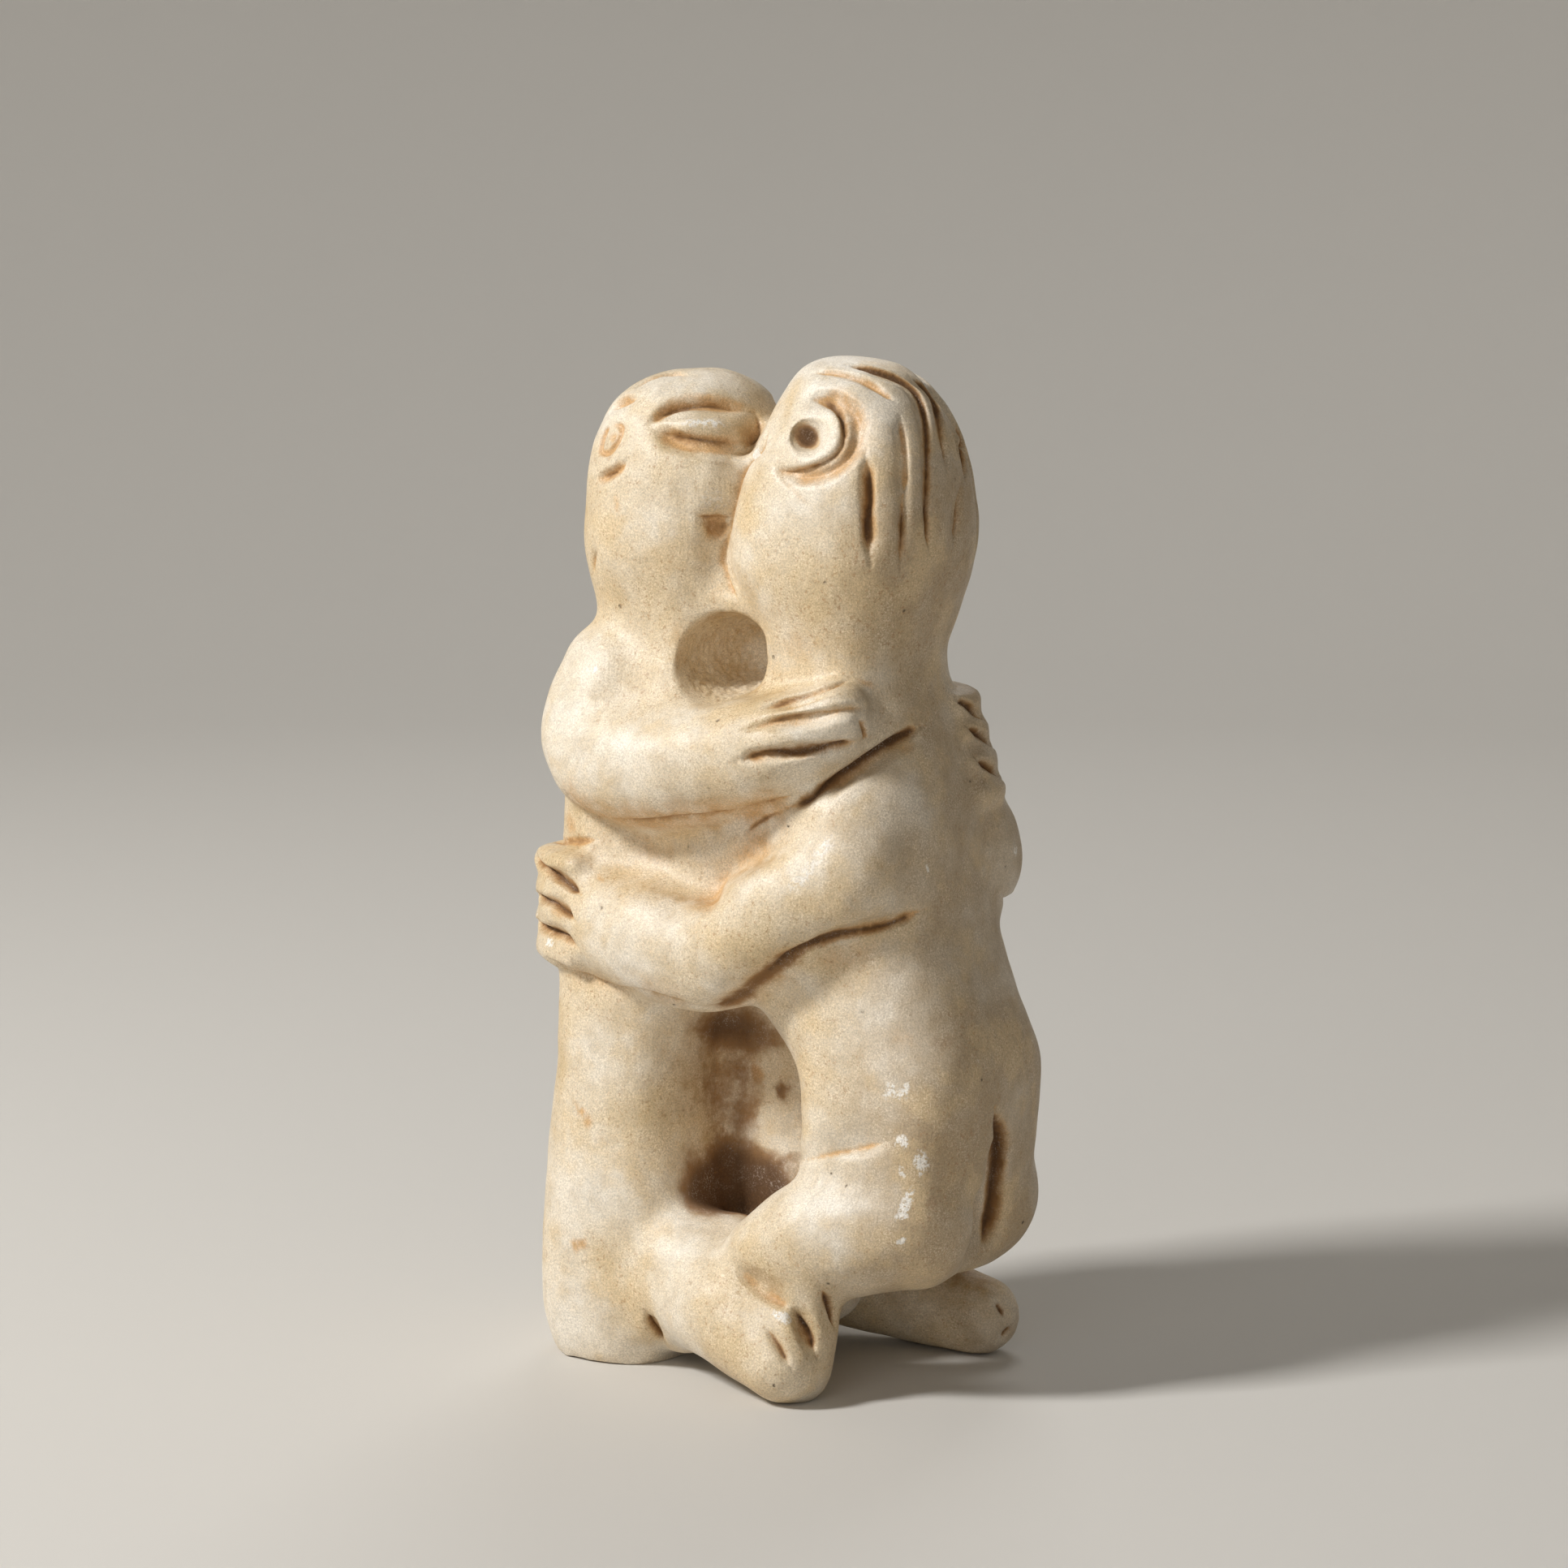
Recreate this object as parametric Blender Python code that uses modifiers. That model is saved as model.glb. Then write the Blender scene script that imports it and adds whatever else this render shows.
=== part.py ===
# Stone figurine of two seated figures embracing, carved from one block.
# Places and sizes of the carving are in carving units, each one millimetre where the figurine is 118 mm
# tall, and the carved block is brought to FIGURE_HEIGHT at the end. The left figure has its back to -X
# and the right one to +X. The near side faces -Y, and the far side mirrors most of it.
import math

import bmesh
import bpy
import numpy as np
from mathutils import Matrix, Vector
from mathutils.bvhtree import BVHTree

FIGURE_HEIGHT = 0.118  # metres, from the ground to the top of the taller head

NEAR, FAR = -1, 1  # the sign of Y on each side of the block

BLOCK_GRAIN = 0.5  # units between points of the block that is carved
ROUNDING_PASSES = 36  # smoothing that rounds the roughed-out masses into each other
SOFTENING_PASSES = 4  # smoothing after the fingers are added
FINISHED_TRIANGLES = 9400
GROUND_TOUCH = 0.02  # units within which a point counts as on the ground
LAST_GRINDING = 0.05  # units ground off the flats once more after the points are thinned out

STROKE_STEPS = 6  # points to each gap between a stroke's marks
STROKE_FADE = 4  # points over which a stroke runs out at its ends
STROKE_END = 0.2  # share of its depth left at the very end
STROKE_ROUNDNESS = 1.5
STROKE_EVENING = 3  # points each way over which a stroke's direction is evened out

PIT_WALL = 4.0  # the higher, the steeper the wall and the flatter the floor
PIT_LIP = 1.1

TRUNK_SIDES = 32
TRUNK_STEPS = 4
BALL_DIVISIONS = 4
LIMB_STEPS = 8
LIMB_ROUNDNESS = 6

# The near side's marks were drawn on a square picture of it. A mark is (right, down) on that picture.
PICTURE_SIDE = 1932
PICTURE_TURN_DEG = 30.0  # round from the near side towards +X
PICTURE_RISE_DEG = 7.5
PICTURE_DISTANCE = 506.3  # units from the eye to the middle of the picture
PICTURE_HEIGHT = 68.3  # units above the ground, where the eye looks
PICTURE_LENS = 100.0 / 36.0  # the lens's length over the picture's width


# Scene

def clear_scene():
    for thing in list(bpy.data.objects):
        bpy.data.objects.remove(thing)


def new_collection(name):
    made = bpy.data.collections.new(name)
    bpy.context.scene.collection.children.link(made)
    return made


def add_object(name, data, collection):
    made = bpy.data.objects.new(name, data)
    collection.objects.link(made)
    return made


def finished_mesh(thing):
    return bpy.data.meshes.new_from_object(thing.evaluated_get(bpy.context.evaluated_depsgraph_get()))


def settle_modifiers(thing):
    """Makes the modified shape the object's own mesh."""
    rough, settled = thing.data, finished_mesh(thing)
    thing.modifiers.clear()
    thing.data = settled
    bpy.data.meshes.remove(rough)


# Roughing out: rounded lumps, lofted bodies and tapered limbs

def squared(direction, squareness):
    """How far the surface of a rounded box of unit half size lies in a direction."""
    return sum(abs(c) ** squareness for c in direction) ** (-1 / squareness)


def unit_ball():
    bm = bmesh.new()
    bmesh.ops.create_icosphere(bm, subdivisions=BALL_DIVISIONS, radius=1.0)
    ball = bpy.data.meshes.new("ball")
    bm.to_mesh(ball)
    bm.free()
    return ball


def lump(bm, ball, centre, radii, squareness=2.0):
    """Squareness 2 is an ellipsoid, and 4 is nearly a box."""
    first = len(bm.verts)
    bm.from_mesh(ball)
    bm.verts.ensure_lookup_table()
    for vert in bm.verts[first:]:
        size = squared(vert.co, squareness)
        vert.co = [c * size * r + place for c, r, place in zip(vert.co, radii, centre)]


def between(values, steps):
    """The values with a smooth curve run through them, with a number of steps to each gap."""
    points = np.array(values, float)
    ends = np.vstack([2 * points[0] - points[1], points, 2 * points[-1] - points[-2]])
    found = []
    for a, b, c, d in zip(ends, ends[1:], ends[2:], ends[3:]):
        for step in range(steps):
            t = step / steps
            found.append(b + 0.5 * t * (c - a + t * (2 * a - 5 * b + 4 * c - d + t * (3 * (b - c) + d - a))))
    found.append(points[-1])
    return found


def body(bm, levels):
    """A body lofted from the ground up. A level is (height, back x, front x, half width, squareness)."""
    angles = [2 * math.pi * i / TRUNK_SIDES for i in range(TRUNK_SIDES)]
    rings = []
    for height, back, front, half_width, squareness in between(levels, TRUNK_STEPS):
        middle, half_depth = (back + front) / 2, abs(front - back) / 2
        ring = []
        for angle in angles:
            c, s = math.cos(angle), math.sin(angle)
            size = squared((c, s), squareness)
            ring.append(bm.verts.new((middle + c * size * half_depth, s * size * half_width, height)))
        rings.append(ring)
    for low, high in zip(rings, rings[1:]):
        for i in range(TRUNK_SIDES):
            j = (i + 1) % TRUNK_SIDES
            bm.faces.new((low[i], low[j], high[j], high[i]))
    bm.faces.new(reversed(rings[0]))
    bm.faces.new(rings[-1])


def limb(bm, ball, stations, side=NEAR):
    """A tapered limb on a smooth line. A station is (x, distance from the middle plane, z, thickness)."""
    places = [(x, side * out, z, r) for x, out, z, r in stations]
    curve = bpy.data.curves.new("limb", "CURVE")
    curve.dimensions = "3D"
    curve.bevel_depth = 1.0
    curve.bevel_resolution = LIMB_ROUNDNESS
    curve.use_fill_caps = True
    curve.resolution_u = LIMB_STEPS
    spline = curve.splines.new("BEZIER")
    spline.bezier_points.add(len(places) - 1)
    spline.radius_interpolation = "CARDINAL"
    for point, (x, y, z, thickness) in zip(spline.bezier_points, places):
        point.co = (x, y, z)
        point.radius = thickness
        point.handle_left_type = point.handle_right_type = "AUTO"
    guide = bpy.data.objects.new("limb", curve)
    bpy.context.scene.collection.objects.link(guide)
    shape = finished_mesh(guide)
    bm.from_mesh(shape)
    bpy.data.objects.remove(guide)
    bpy.data.meshes.remove(shape)
    for x, y, z, thickness in (places[0], places[-1]):
        lump(bm, ball, (x, y, z), (thickness,) * 3)


# The two figures

LEFT_BODY = (  # height, back x, front x, half width, squareness
    (-1.5, -25.5, -10.0, 12.0, 3.2),
    (0.5, -26.8, -10.4, 14.0, 3.0),
    (5.0, -28.4, -8.2, 15.0, 3.0),
    (12.0, -28.7, -6.5, 15.0, 2.8),
    (20.0, -28.6, -6.5, 14.8, 2.7),
    (27.0, -28.0, -7.2, 14.4, 2.7),
    (36.0, -26.8, -8.0, 13.8, 2.7),
    (44.0, -27.0, -5.0, 13.4, 2.8),
    (52.0, -27.2, 5.0, 13.2, 3.0),
    (64.0, -26.6, 6.0, 13.6, 3.0),
    (71.0, -25.8, 6.0, 15.6, 2.8),
    (77.0, -25.0, 4.0, 15.4, 2.5),
    (83.0, -23.0, 1.0, 12.9, 2.5),
    (88.0, -22.2, -1.0, 11.6, 2.5),
    (95.0, -23.8, 0.0, 13.2, 2.4),
    (102.0, -23.8, 1.0, 13.2, 2.4),
    (107.5, -23.0, 0.0, 12.5, 2.4),
    (112.5, -20.6, -3.0, 9.8, 2.4),
    (115.0, -17.4, -5.5, 6.8, 2.4),
    (116.3, -14.0, -8.5, 2.5, 2.4),
)

RIGHT_BODY = (
    (12.5, 24.0, 14.0, 8.0, 2.8),
    (14.5, 26.3, 11.0, 12.0, 2.8),
    (18.5, 27.8, 8.0, 14.2, 3.0),
    (24.0, 28.6, 7.0, 14.9, 3.2),
    (32.0, 29.9, 6.8, 14.9, 3.2),
    (38.0, 30.0, 5.6, 14.3, 3.1),
    (44.0, 28.3, 0.0, 13.4, 3.0),
    (52.0, 25.3, -5.0, 13.4, 3.0),
    (60.0, 24.2, -6.0, 14.8, 3.0),
    (67.0, 23.8, -6.0, 14.4, 3.0),
    (76.0, 21.2, -5.0, 12.4, 2.8),
    (83.0, 19.0, -1.5, 11.0, 2.6),
    (88.0, 20.2, -0.5, 12.0, 2.4),
    (94.0, 22.2, -4.8, 13.7, 2.4),
    (100.0, 23.0, -4.2, 13.4, 2.4),
    (108.0, 21.8, -1.4, 12.0, 2.3),
    (113.5, 19.2, 1.3, 9.2, 2.3),
    (116.8, 15.3, 3.6, 6.0, 2.3),
    (118.0, 11.5, 6.2, 2.2, 2.3),
)

LEFT_ARM = (  # x, distance from the middle plane, height, thickness
    (-16.9, 6.8, 80.0, 8.1),
    (-17.8, 9.3, 73.5, 8.3),
    (-9.0, 12.3, 71.2, 7.4),
    (-2.5, 13.0, 72.3, 6.9),
    (5.0, 13.3, 74.2, 6.3),
    (10.0, 13.2, 76.2, 5.3),
    (14.2, 12.6, 78.4, 4.0),
)

LEFT_FAR_ARM = (
    (-16.9, 6.8, 80.0, 8.1),
    (-17.8, 9.3, 73.5, 8.3),
    (-9.0, 12.3, 71.2, 7.4),
    (0.0, 13.0, 71.0, 6.7),
    (8.5, 13.0, 72.0, 5.9),
    (14.0, 11.6, 73.2, 4.7),
)

RIGHT_ARM = (
    (13.0, 8.0, 67.0, 7.0),
    (14.5, 9.3, 61.0, 8.0),
    (10.6, 11.0, 58.0, 7.8),
    (4.0, 12.5, 53.5, 7.1),
    (-2.8, 12.5, 49.8, 6.9),
    (-10.6, 12.0, 51.5, 7.1),
    (-20.0, 8.8, 54.0, 6.9),
)

RIGHT_FAR_ARM = (
    (14.0, 8.0, 67.0, 7.0),
    (17.2, 9.3, 59.8, 8.4),
    (10.6, 11.0, 57.0, 7.8),
    (4.0, 12.5, 53.5, 7.1),
    (-2.8, 12.5, 49.8, 6.9),
    (-10.6, 12.0, 51.5, 7.1),
    (-20.0, 8.8, 54.0, 6.9),
)

LEFT_LEG = (
    (-14.0, 5.0, 11.0, 8.0),
    (-5.5, 9.4, 10.4, 7.6),
    (1.5, 14.0, 8.6, 6.7),
    (6.5, 16.2, 6.2, 5.6),
    (9.8, 17.3, 4.8, 4.9),
)

LEFT_FAR_LEG = (
    (-14.0, 5.0, 11.0, 8.0),
    (-5.5, 9.4, 10.4, 7.6),
    (7.0, 12.6, 7.0, 6.2),
    (14.0, 13.4, 5.2, 5.4),
    (19.2, 13.5, 4.5, 4.9),
)

RIGHT_THIGH = (
    (21.0, 8.0, 20.8, 7.8),
    (15.0, 10.5, 19.2, 7.8),
    (10.5, 12.0, 17.6, 7.2),
    (6.0, 12.6, 15.0, 6.2),
)

RIGHT_SHIN = (
    (6.0, 12.6, 14.8, 6.2),
    (8.8, 13.6, 11.5, 5.6),
    (10.4, 14.8, 8.0, 4.9),
    (10.2, 14.9, 3.8, 4.5),
)

BUTTOCK = (21.8, 7.0, 22.0)  # x, distance from the middle plane, height
BUTTOCK_RADII = (6.8, 7.2, 9.5)

HIP_FILL = (-8.5, 8.8, 10.5)  # stone left between the base and the legs, in the lap and under the chins
HIP_FILL_RADII = (9.0, 7.2, 9.0)
LAP_FILL = (-3.5, 7.5, 12.0)
LAP_FILL_RADII = (9.0, 6.5, 6.5)
CHIN_FILL = (-2.5, 6.0, 91.0)
CHIN_FILL_RADII = (6.5, 4.6, 6.0)

WEB_CENTRE = (-2.0, 2.0, 30.0)  # the wall left standing between the two laps
WEB_RADII = (12.0, 4.0, 26.0)
WEB_SQUARENESS = 6.0

RIGHT_HAND_HEIGHTS = (58.6, 55.3, 51.9, 48.6)  # the fingers that reach round the left figure's back
RIGHT_FINGER = ((-20.0, 13.4, 2.0), (-25.2, 10.6, 1.9), (-28.2, 6.0, 1.7), (-28.6, 2.5, 1.6))

FAR_HAND_HEIGHTS = (78.2, 75.0, 71.6, 68.2)  # the far hand's fingers on the right figure's back
FAR_FINGER = ((13.0, 14.2, 2.0), (18.8, 12.0, 2.0), (22.9, 7.6, 1.8), (23.4, 4.0, 1.5))
FAR_FINGER_LEAN = -0.3  # the back slopes, so each finger above the lowest lies this far in for its height


def new_mesh(bm, name):
    mesh = bpy.data.meshes.new(name)
    bm.to_mesh(mesh)
    bm.free()
    return mesh


def rough_block():
    bm = bmesh.new()
    ball = unit_ball()
    body(bm, LEFT_BODY)
    body(bm, RIGHT_BODY)
    for side, arms_and_leg in (
        (NEAR, (LEFT_ARM, RIGHT_ARM, LEFT_LEG)),
        (FAR, (LEFT_FAR_ARM, RIGHT_FAR_ARM, LEFT_FAR_LEG)),
    ):
        for stations in arms_and_leg + (RIGHT_THIGH, RIGHT_SHIN):
            limb(bm, ball, stations, side)
        for (x, out, z), radii in (
            (BUTTOCK, BUTTOCK_RADII),
            (HIP_FILL, HIP_FILL_RADII),
            (LAP_FILL, LAP_FILL_RADII),
            (CHIN_FILL, CHIN_FILL_RADII),
        ):
            lump(bm, ball, (x, side * out, z), radii)
    lump(bm, ball, WEB_CENTRE, WEB_RADII, WEB_SQUARENESS)
    bpy.data.meshes.remove(ball)
    return new_mesh(bm, "block")


def add_fingers(couple):
    bm = bmesh.new()
    ball = unit_ball()
    bm.from_mesh(couple.data)
    for side, heights, finger, lean in (
        (NEAR, RIGHT_HAND_HEIGHTS, RIGHT_FINGER, 0),
        (FAR, RIGHT_HAND_HEIGHTS, RIGHT_FINGER, 0),
        (FAR, FAR_HAND_HEIGHTS, FAR_FINGER, FAR_FINGER_LEAN),
    ):
        for height in heights:
            shift = lean * (height - heights[-1])
            limb(bm, ball, [(x + shift, out, height, thickness) for x, out, thickness in finger], side)
    bpy.data.meshes.remove(ball)
    bare = couple.data
    couple.data = new_mesh(bm, "block")
    bpy.data.meshes.remove(bare)


def fuse_block(couple, passes):
    fuse = couple.modifiers.new("Fuse", "REMESH")
    fuse.mode = "VOXEL"
    fuse.voxel_size = BLOCK_GRAIN
    soften = couple.modifiers.new("Soften", "SMOOTH")
    soften.factor = 0.5
    soften.iterations = passes
    settle_modifiers(couple)


# Carving: pits dug and strokes cut into the block

PITS = (  # x and z of the middle, radius, how far in from the middle plane it stops
    (-2.0, 83.9, 5.3, 2.2),
)


class Block:
    """The block's points while it is carved."""

    def __init__(self, mesh):
        self.mesh = mesh
        self.places = np.empty(len(mesh.vertices) * 3, np.float32)
        mesh.vertices.foreach_get("co", self.places)
        self.places = self.places.reshape(-1, 3).astype(float)
        surface = bmesh.new()
        surface.from_mesh(mesh)
        self.surface = BVHTree.FromBMesh(surface)
        surface.free()

    def nearest(self, place):
        return self.surface.find_nearest(Vector(place))[0]

    def outward(self, line):
        """The block's outward direction along a line, evened out over its neighbouring points."""
        found = np.array([self.surface.find_nearest(Vector(place))[1] for place in line])
        reach = STROKE_EVENING
        evened = [found[max(i - reach, 0) : i + reach + 1].mean(axis=0) for i in range(len(found))]
        return [each / np.linalg.norm(each) for each in evened]

    def dig(self, x, z, radius, floor):
        """A round pit from both sides towards the middle plane."""
        reach = np.hypot(self.places[:, 0] - x, self.places[:, 2] - z) / radius
        inside = reach < 1
        share = (1 - reach[inside] ** PIT_WALL) ** PIT_LIP
        y = self.places[inside, 1]
        depth = np.maximum(np.abs(y) - floor, 0) * share
        self.places[inside, 1] = y - np.sign(y) * depth

    def cut(self, line, width, depth):
        """A round-bottomed stroke along a line on the surface. A negative depth raises it."""
        outward = np.array(self.outward(line))
        line = np.array(line)
        reach = width / 2
        inside = (self.places > line.min(axis=0) - reach) & (self.places < line.max(axis=0) + reach)
        near = np.flatnonzero(inside.all(axis=1))
        places = self.places[near]
        best = np.full(len(near), np.inf)
        along = np.zeros(len(near))
        for i, (start, end) in enumerate(zip(line, np.vstack([line[1:], line[-1:]]))):
            run = end - start
            t = np.clip((places - start) @ run / max(run @ run, 1e-9), 0, 1)
            gap = np.linalg.norm(places - start - t[:, None] * run, axis=1)
            closer = gap < best
            best[closer] = gap[closer]
            along[closer] = i + t[closer]
        ends = min(STROKE_FADE, (len(line) - 1) / 3)
        share = np.clip(1 - (best / reach) ** 2, 0, 1) ** STROKE_ROUNDNESS
        if ends:
            share *= np.clip(np.minimum(along, len(line) - 1 - along) / ends, STROKE_END, 1)
        direction = outward[np.minimum(np.round(along).astype(int), len(line) - 1)]
        self.places[near] -= direction * (depth * share)[:, None]

    def finish(self):
        self.mesh.vertices.foreach_set("co", self.places.astype(np.float32).ravel())
        self.mesh.update()


def sight(mark):
    """The eye and the direction from it through a mark on the picture of the near side."""
    turn, rise = math.radians(PICTURE_TURN_DEG), math.radians(PICTURE_RISE_DEG)
    back = Vector((math.sin(turn) * math.cos(rise), -math.cos(turn) * math.cos(rise), math.sin(rise)))
    right = Vector((math.cos(turn), math.sin(turn), 0))
    up = back.cross(right)
    eye = Vector((0, 0, PICTURE_HEIGHT)) + back * PICTURE_DISTANCE
    across, down = mark[0] - PICTURE_SIDE / 2, mark[1] - PICTURE_SIDE / 2
    return eye, (right * across - up * down - back * PICTURE_SIDE * PICTURE_LENS).normalized()


def on_block(block, marks):
    """Where the marks fall on the block, with a smooth line through them."""
    dense = between(marks, STROKE_STEPS) if len(marks) > 1 else marks
    hits = [block.surface.ray_cast(*sight(mark))[0] for mark in dense]
    return [hit for hit in hits if hit is not None]


def snapped(block, places):
    return [block.nearest(place) for place in between(places, STROKE_STEPS)]


def mirrored(block, line):
    return [block.nearest((x, -y, z)) for x, y, z in line]


RING_EYE_GROOVE = (
    (985, 491), (1012, 489), (1038, 500), (1053, 520), (1055, 545), (1041, 569), (1012, 586), (980, 587), (958, 578)
)
RING_EYE_SLOPE = ((1035, 495), (1062, 515), (1068, 540), (1055, 565))
PUPIL = (996, 539)
SLIT_EYE_TOP = ((801, 518), (832, 498), (868, 497), (926, 507))
SLIT_EYE_BOTTOM = ((803, 526), (832, 545), (872, 553), (915, 550), (929, 530), (926, 510))
SLIT_EYE_BALL = ((818, 525), (868, 524), (918, 528))
LEFT_EAR = ((756, 520), (745, 535), (744, 556), (753, 562), (763, 545), (764, 526), (756, 520))
LEFT_MOUTH = ((858, 634), (878, 640), (898, 634))
LEFT_MOUTH_LOW = ((868, 652), (880, 658), (892, 652))
RIGHT_EAR = ((1068, 567), (1067, 609), (1072, 650), (1078, 683))
FACE_SEAM = ((957, 497), (946, 547), (921, 568), (908, 601), (897, 641), (892, 677), (899, 712), (921, 744))
FACE_STEP = ((938, 520), (920, 548), (900, 580), (886, 620), (878, 665), (884, 710), (902, 745))

HAIR = (
    ((998, 458), (1061, 466), (1099, 492)),
    ((1109, 512), (1112, 560), (1112, 630), (1109, 694)),
    ((1036, 446), (1103, 466), (1130, 492), (1141, 546), (1142, 609), (1146, 677)),
)
MIDDLE_HAIR = (
    ((1111, 459), (1145, 483), (1156, 504), (1162, 580)),
    ((1162, 501), (1181, 542), (1186, 586)),
    ((1179, 605), (1174, 673)),
)

LEFT_HAND = (
    ((933, 873), (988, 860), (1040, 844)),
    ((919, 898), (993, 887), (1072, 871)),
    ((917, 938), (979, 926), (1046, 920)),
)
LEFT_FINGERTIP = ((1056, 880), (1066, 905))
SHOULDER_CREASE = ((1133, 895), (1091, 927), (1046, 954), (1002, 984))
UPPER_ARM_CREASE = ((1140, 1124), (1083, 1138), (1030, 1155), (983, 1176))
FOREARM_UNDERCUT = ((690, 984), (734, 1016), (784, 1036), (839, 1038), (908, 1014), (960, 1000))
ARM_HOLLOW = ((720, 1030), (790, 1062), (860, 1080), (920, 1052), (975, 1018))
ARM_HOLLOW_POINT = ((862, 1080), (874, 1104), (880, 1128))
HAND_GROOVES = (
    ((666, 1074), (690, 1078), (709, 1092)),
    ((663, 1108), (688, 1110), (706, 1124)),
    ((664, 1144), (688, 1145), (710, 1162)),
)
HIP_CREASE = ((1002, 1428), (1061, 1416), (1107, 1406))
HIP_STEP = ((1004, 1410), (1050, 1402), (1098, 1390))
SHIN_CREASE = ((897, 1550), (935, 1584), (977, 1614))
BETWEEN_FEET = ((975, 1606), (990, 1632), (1005, 1672))
LEG_NOTCH = ((797, 1616), (806, 1638), (818, 1668))
TOES = (
    ((945, 1637), (958, 1660), (972, 1683)),
    ((1017, 1592), (1029, 1630)),
)
LEFT_NAPE = (
    ((749, 507), (768, 496), (790, 489)),
    ((815, 463), (832, 460), (850, 460)),
    ((730, 596), (750, 586), (770, 570)),
    ((728, 704), (732, 684), (737, 664)),
)
LEFT_CHEEK = ((762, 590), (760, 620), (763, 648))
FAR_TOES = (
    ((1226, 1602), (1234, 1612), (1243, 1622)),
    ((1230, 1632), (1238, 1640), (1247, 1648)),
)

HAIR_WIDTH, HAIR_DEPTH = 1.7, 0.9

STROKES_ON_BOTH_SIDES = (  # marks, width, depth
    (RING_EYE_GROOVE, 2.4, 1.0),
    (RING_EYE_SLOPE, 3.4, 0.5),
    ((PUPIL,), 5.0, 1.7),
    (SLIT_EYE_TOP, 2.2, 1.1),
    (SLIT_EYE_BOTTOM, 2.6, 1.2),
    (SLIT_EYE_BALL, 2.6, -0.3),
    (LEFT_EAR, 1.6, 0.5),
    (LEFT_MOUTH, 3.2, 1.0),
    (LEFT_MOUTH_LOW, 2.6, 0.9),
    (LEFT_CHEEK, 1.6, 0.4),
    (RIGHT_EAR, 1.7, 0.9),
    (FACE_SEAM, 2.0, 0.6),
    (FACE_STEP, 5.0, 0.8),
    (FOREARM_UNDERCUT, 4.0, 1.5),
    (ARM_HOLLOW, 9.0, 1.6),
    (ARM_HOLLOW_POINT, 6.0, 1.0),
    (UPPER_ARM_CREASE, 2.6, 1.0),
    (HIP_CREASE, 1.8, 0.7),
    (HIP_STEP, 5.0, 0.7),
)
STROKES_ON_NEAR_SIDE = (
    (LEFT_FINGERTIP, 1.6, 0.7),
    (SHOULDER_CREASE, 3.0, 1.6),
    (SHIN_CREASE, 3.0, 1.2),
    (BETWEEN_FEET, 3.0, 2.0),
    (LEG_NOTCH, 2.6, 1.6),
)
REPEATED_STROKES = (  # sets of marks, width, depth, whether on both sides
    (HAIR, HAIR_WIDTH, HAIR_DEPTH, True),
    (MIDDLE_HAIR, HAIR_WIDTH, HAIR_DEPTH, False),
    (LEFT_NAPE, 1.7, 0.7, True),
    (HAND_GROOVES, 1.5, 0.8, True),
    (LEFT_HAND, 1.9, 1.2, False),
    (TOES, 1.5, 0.6, False),
    (FAR_TOES, 1.6, 0.8, False),
)

LEFT_HAIR_OUTS = (-7.5, -2.5, 2.5, 7.5)  # how far from the middle plane each strand hangs at the back
LEFT_HAIR_BACK = -24.0
LEFT_HAIR_TOP, LEFT_HAIR_END = 112.0, 92.0
LEFT_HAIR = [
    ((LEFT_HAIR_BACK, out, LEFT_HAIR_TOP), (LEFT_HAIR_BACK, out, LEFT_HAIR_END)) for out in LEFT_HAIR_OUTS
]
BUTTOCK_CLEFT = ((29.0, -1.0, 31.0), (28.5, -1.0, 26.0), (28.0, -1.0, 21.0), (26.0, -1.0, 15.0))
CLEFT_WIDENING = ((29.0, -1.0, 25.5), (28.0, -1.0, 20.0), (26.0, -1.0, 13.5))

CLEFT_WIDTH, CLEFT_DEPTH = 5.0, 2.6
WIDENING_WIDTH, WIDENING_DEPTH = 12.0, 3.0

STROKES_AT_THE_BACK = [(strand, HAIR_WIDTH, HAIR_DEPTH) for strand in LEFT_HAIR] + [
    (BUTTOCK_CLEFT, CLEFT_WIDTH, CLEFT_DEPTH),
    (CLEFT_WIDENING, WIDENING_WIDTH, WIDENING_DEPTH),
]


def carve(couple):
    block = Block(couple.data)
    for x, z, radius, floor in PITS:
        block.dig(x, z, radius, floor)
    strokes = [stroke + (True,) for stroke in STROKES_ON_BOTH_SIDES]
    strokes += [stroke + (False,) for stroke in STROKES_ON_NEAR_SIDE]
    strokes += [(marks, width, depth, both) for group, width, depth, both in REPEATED_STROKES for marks in group]
    for marks, width, depth, both in strokes:
        line = on_block(block, marks)
        block.cut(line, width, depth)
        if both:
            block.cut(mirrored(block, line), width, depth)
    for places, width, depth in STROKES_AT_THE_BACK:
        block.cut(snapped(block, places), width, depth)
    block.finish()


def stone_material():
    made = bpy.data.materials.new("pale stone")
    made.use_nodes = True
    shader = made.node_tree.nodes["Principled BSDF"]
    shader.inputs["Base Color"].default_value = (0.62, 0.53, 0.40, 1.0)
    shader.inputs["Roughness"].default_value = 0.55
    shader.inputs["Metallic"].default_value = 0.0
    return made


def lighten(couple):
    """Drops points where the stone is smooth and keeps them where it is carved."""
    triangles = sum(len(face.vertices) - 2 for face in couple.data.polygons)
    lighter = couple.modifiers.new("Lighten", "DECIMATE")
    lighter.ratio = FINISHED_TRIANGLES / triangles
    lighter.use_collapse_triangulate = True
    settle_modifiers(couple)


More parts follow.
